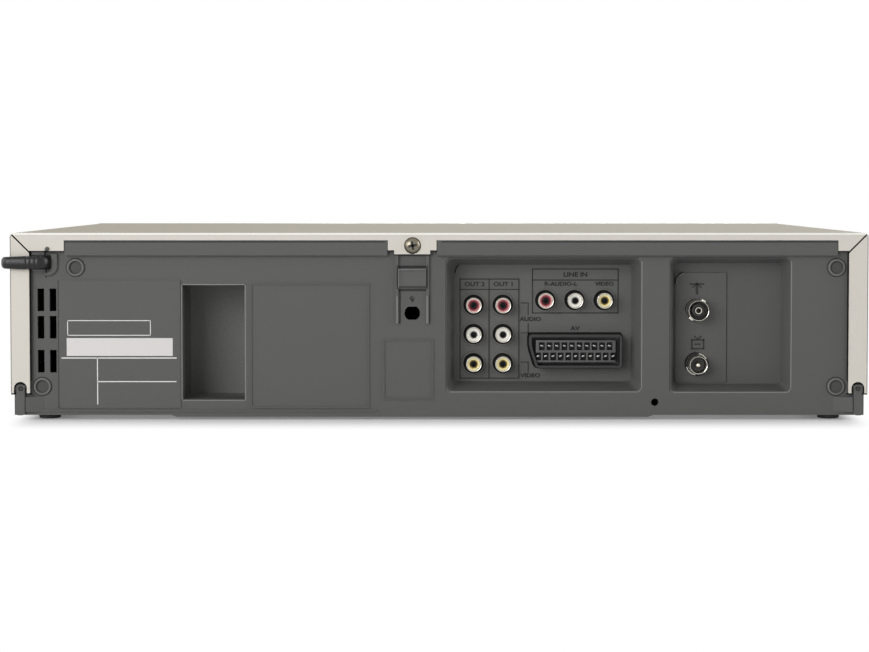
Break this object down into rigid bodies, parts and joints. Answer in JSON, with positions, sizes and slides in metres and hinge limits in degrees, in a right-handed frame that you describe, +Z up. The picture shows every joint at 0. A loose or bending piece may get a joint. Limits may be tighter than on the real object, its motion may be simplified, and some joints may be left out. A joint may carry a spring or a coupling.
{
  "type": "video cassette recorder",
  "caption": "Flat video cassette recorder seen from behind: folded light cover over a dark moulded frame with recessed sound, picture and aerial sockets, and a coiled mains lead.",
  "frame": {"origin": "on the floor plane under the feet, in the middle of the case's width and depth", "axes": "+X to the recorder's left seen from the front's own view outward, along the width; +Y out of the rear wall; -Y out of the front; +Z up"},
  "size_m": [0.4875, 0.4438, 0.094],
  "materials": {
    "frame_plastic": "moulded, fine matt grain",
    "cover_paint": "folded sheet steel, smooth ivory silver paint",
    "bare_zinc": "zinc plated sheet steel",
    "foot_rubber": "matt black rubber",
    "front_plastic": "moulded, light silver",
    "window_smoke": "dark smoked, polished",
    "circuit_board": "brown laminate with its parts",
    "black_plastic": "moulded black",
    "nickel": "bright nickel plate",
    "core_plastic": "coloured socket cores, red on the carrier strip",
    "ferrite": "dark ferrite and tape",
    "aluminium": "machined",
    "steel": "ground and polished steel",
    "white_plastic": "moulded gear plastic",
    "brass": "turned brass",
    "sleeve_rubber": "satin black sleeve",
    "cord_rubber": "satin black flex"
  },
  "bodies": {
    "recorder": {"main_frame": "frame_plastic", "top_cover": "cover_paint", "bottom_plate": "bare_zinc", "foot_front_left": "foot_rubber", "foot_front_right": "foot_rubber", "foot_rear_left": "foot_rubber", "foot_rear_right": "foot_rubber", "front_panel": "front_plastic", "display_window": "window_smoke", "display_board": "circuit_board", "rca_block_out": "black_plastic", "rca_shells_out": "nickel", "rca_cores_out": "core_plastic", "rca_block_in": "black_plastic", "rca_shells_in": "nickel", "rca_cores_in": "core_plastic", "scart_socket": "black_plastic", "tuner_box": "bare_zinc", "aerial_in": "nickel", "rf_out": "nickel", "main_board": "circuit_board", "power_board": "circuit_board", "transformer": "ferrite", "power_heatsink": "aluminium", "filter_capacitor": "black_plastic", "strain_relief": "sleeve_rubber", "power_cord_coil": "cord_rubber", "power_cord": "cord_rubber", "cord_tie": "black_plastic", "mains_plug": "cord_rubber", "mecha_deck": "bare_zinc", "lower_drum": "aluminium", "capstan_motor": "bare_zinc", "loading_motor": "steel", "audio_head": "steel", "erase_head": "steel", "carriage_frame": "bare_zinc"},
    "cassette_door": {"cassette_door": "front_plastic"},
    "power_button": {"power_button": "front_plastic"},
    "eject_button": {"eject_button": "front_plastic"},
    "rewind_button": {"rewind_button": "front_plastic"},
    "play_button": {"play_button": "front_plastic"},
    "fast_forward_button": {"fast_forward_button": "front_plastic"},
    "stop_button": {"stop_button": "front_plastic"},
    "record_button": {"record_button": "front_plastic"},
    "channel_rocker": {"channel_rocker": "front_plastic"},
    "upper_drum": {"upper_drum": "aluminium"},
    "capstan": {"capstan": "steel"},
    "pinch_arm": {"pinch_arm": "steel"},
    "pinch_roller": {"pinch_roller": "foot_rubber"},
    "supply_reel": {"supply_reel": "white_plastic"},
    "takeup_reel": {"takeup_reel": "white_plastic"},
    "reel_idler": {"reel_idler": "white_plastic"},
    "cam_gear": {"cam_gear": "white_plastic"},
    "worm": {"worm": "brass"},
    "entry_guide": {"entry_guide": "steel"},
    "exit_guide": {"exit_guide": "steel"},
    "carriage_rack": {"carriage_rack": "white_plastic"},
    "cassette_holder": {"cassette_holder": "bare_zinc"}
  },
  "joints": [
    {"name": "door_hinge", "type": "hinge", "parent": "recorder", "child": "cassette_door", "pos_m": [0, -0.1477, 0.0834], "axis": [1, 0, 0], "range_deg": [0, 80], "stiffness_Nm_per_rad": 0.01},
    {"name": "power_press", "type": "slide", "parent": "recorder", "child": "power_button", "axis": [0, 1, 0], "range_m": [0, 0.0015], "stiffness_N_per_m": 400},
    {"name": "eject_press", "type": "slide", "parent": "recorder", "child": "eject_button", "axis": [0, 1, 0], "range_m": [0, 0.0015], "stiffness_N_per_m": 400},
    {"name": "rewind_press", "type": "slide", "parent": "recorder", "child": "rewind_button", "axis": [0, 1, 0], "range_m": [0, 0.0015], "stiffness_N_per_m": 400},
    {"name": "play_press", "type": "slide", "parent": "recorder", "child": "play_button", "axis": [0, 1, 0], "range_m": [0, 0.0015], "stiffness_N_per_m": 400},
    {"name": "fast_forward_press", "type": "slide", "parent": "recorder", "child": "fast_forward_button", "axis": [0, 1, 0], "range_m": [0, 0.0015], "stiffness_N_per_m": 400},
    {"name": "stop_press", "type": "slide", "parent": "recorder", "child": "stop_button", "axis": [0, 1, 0], "range_m": [0, 0.0015], "stiffness_N_per_m": 400},
    {"name": "record_press", "type": "slide", "parent": "recorder", "child": "record_button", "axis": [0, 1, 0], "range_m": [0, 0.0015], "stiffness_N_per_m": 400},
    {"name": "channel_rock", "type": "hinge", "parent": "recorder", "child": "channel_rocker", "pos_m": [0.16, -0.145, 0.03], "axis": [1, 0, 0], "range_deg": [-4, 4], "stiffness_Nm_per_rad": 0.05},
    {"name": "drum_spin", "type": "hinge", "parent": "recorder", "child": "upper_drum", "pos_m": [0.00196, 0.068, 0.04991], "axis": [0.0958, 0, 0.9954], "continuous": true},
    {"name": "capstan_spin", "type": "hinge", "parent": "recorder", "child": "capstan", "pos_m": [0.062, 0.044, 0.026], "axis": [0, 0, 1], "continuous": true},
    {"name": "pinch_swing", "type": "hinge", "parent": "recorder", "child": "pinch_arm", "pos_m": [0.088, 0.052, 0.026], "axis": [0, 0, 1], "range_deg": [-30, 0]},
    {"name": "pinch_roll", "type": "hinge", "parent": "pinch_arm", "child": "pinch_roller", "pos_m": [0.07702, 0.03005, 0.0505], "axis": [0, 0, 1], "continuous": true},
    {"name": "supply_spin", "type": "hinge", "parent": "recorder", "child": "supply_reel", "pos_m": [-0.046, -0.032, 0.026], "axis": [0, 0, 1], "continuous": true},
    {"name": "takeup_spin", "type": "hinge", "parent": "recorder", "child": "takeup_reel", "pos_m": [0.046, -0.032, 0.026], "axis": [0, 0, 1], "continuous": true},
    {"name": "idler_spin", "type": "hinge", "parent": "recorder", "child": "reel_idler", "pos_m": [0.01668, -0.01507, 0.026], "axis": [0, 0, 1], "continuous": true},
    {"name": "cam_turn", "type": "hinge", "parent": "recorder", "child": "cam_gear", "pos_m": [-0.084, 0.066, 0.026], "axis": [0, 0, 1], "range_deg": [0, 300]},
    {"name": "worm_turn", "type": "hinge", "parent": "recorder", "child": "worm", "pos_m": [-0.084, 0.09, 0.0375], "axis": [1, 0, 0], "range_deg": [0, 8400]},
    {"name": "entry_guide_slide", "type": "slide", "parent": "recorder", "child": "entry_guide", "axis": [-0.2941, 0.9558, 0], "range_m": [0, 0.0544]},
    {"name": "exit_guide_slide", "type": "slide", "parent": "recorder", "child": "exit_guide", "axis": [0.2941, 0.9558, 0], "range_m": [0, 0.0544]},
    {"name": "rack_slide", "type": "slide", "parent": "recorder", "child": "carriage_rack", "axis": [0, 1, 0], "range_m": [0, 0.06]},
    {"name": "holder_drop", "type": "slide", "parent": "carriage_rack", "child": "cassette_holder", "axis": [0, 0, -1], "range_m": [0, 0.02]}
  ],
  "couplings": [
    {"joint": "idler_spin", "follows": "takeup_spin", "ratio": -1.6667},
    {"joint": "worm_turn", "follows": "cam_turn", "ratio": 28},
    {"joint": "entry_guide_slide", "follows": "cam_turn", "m_per_rad": 0.01038},
    {"joint": "exit_guide_slide", "follows": "cam_turn", "m_per_rad": 0.01038}
  ]
}
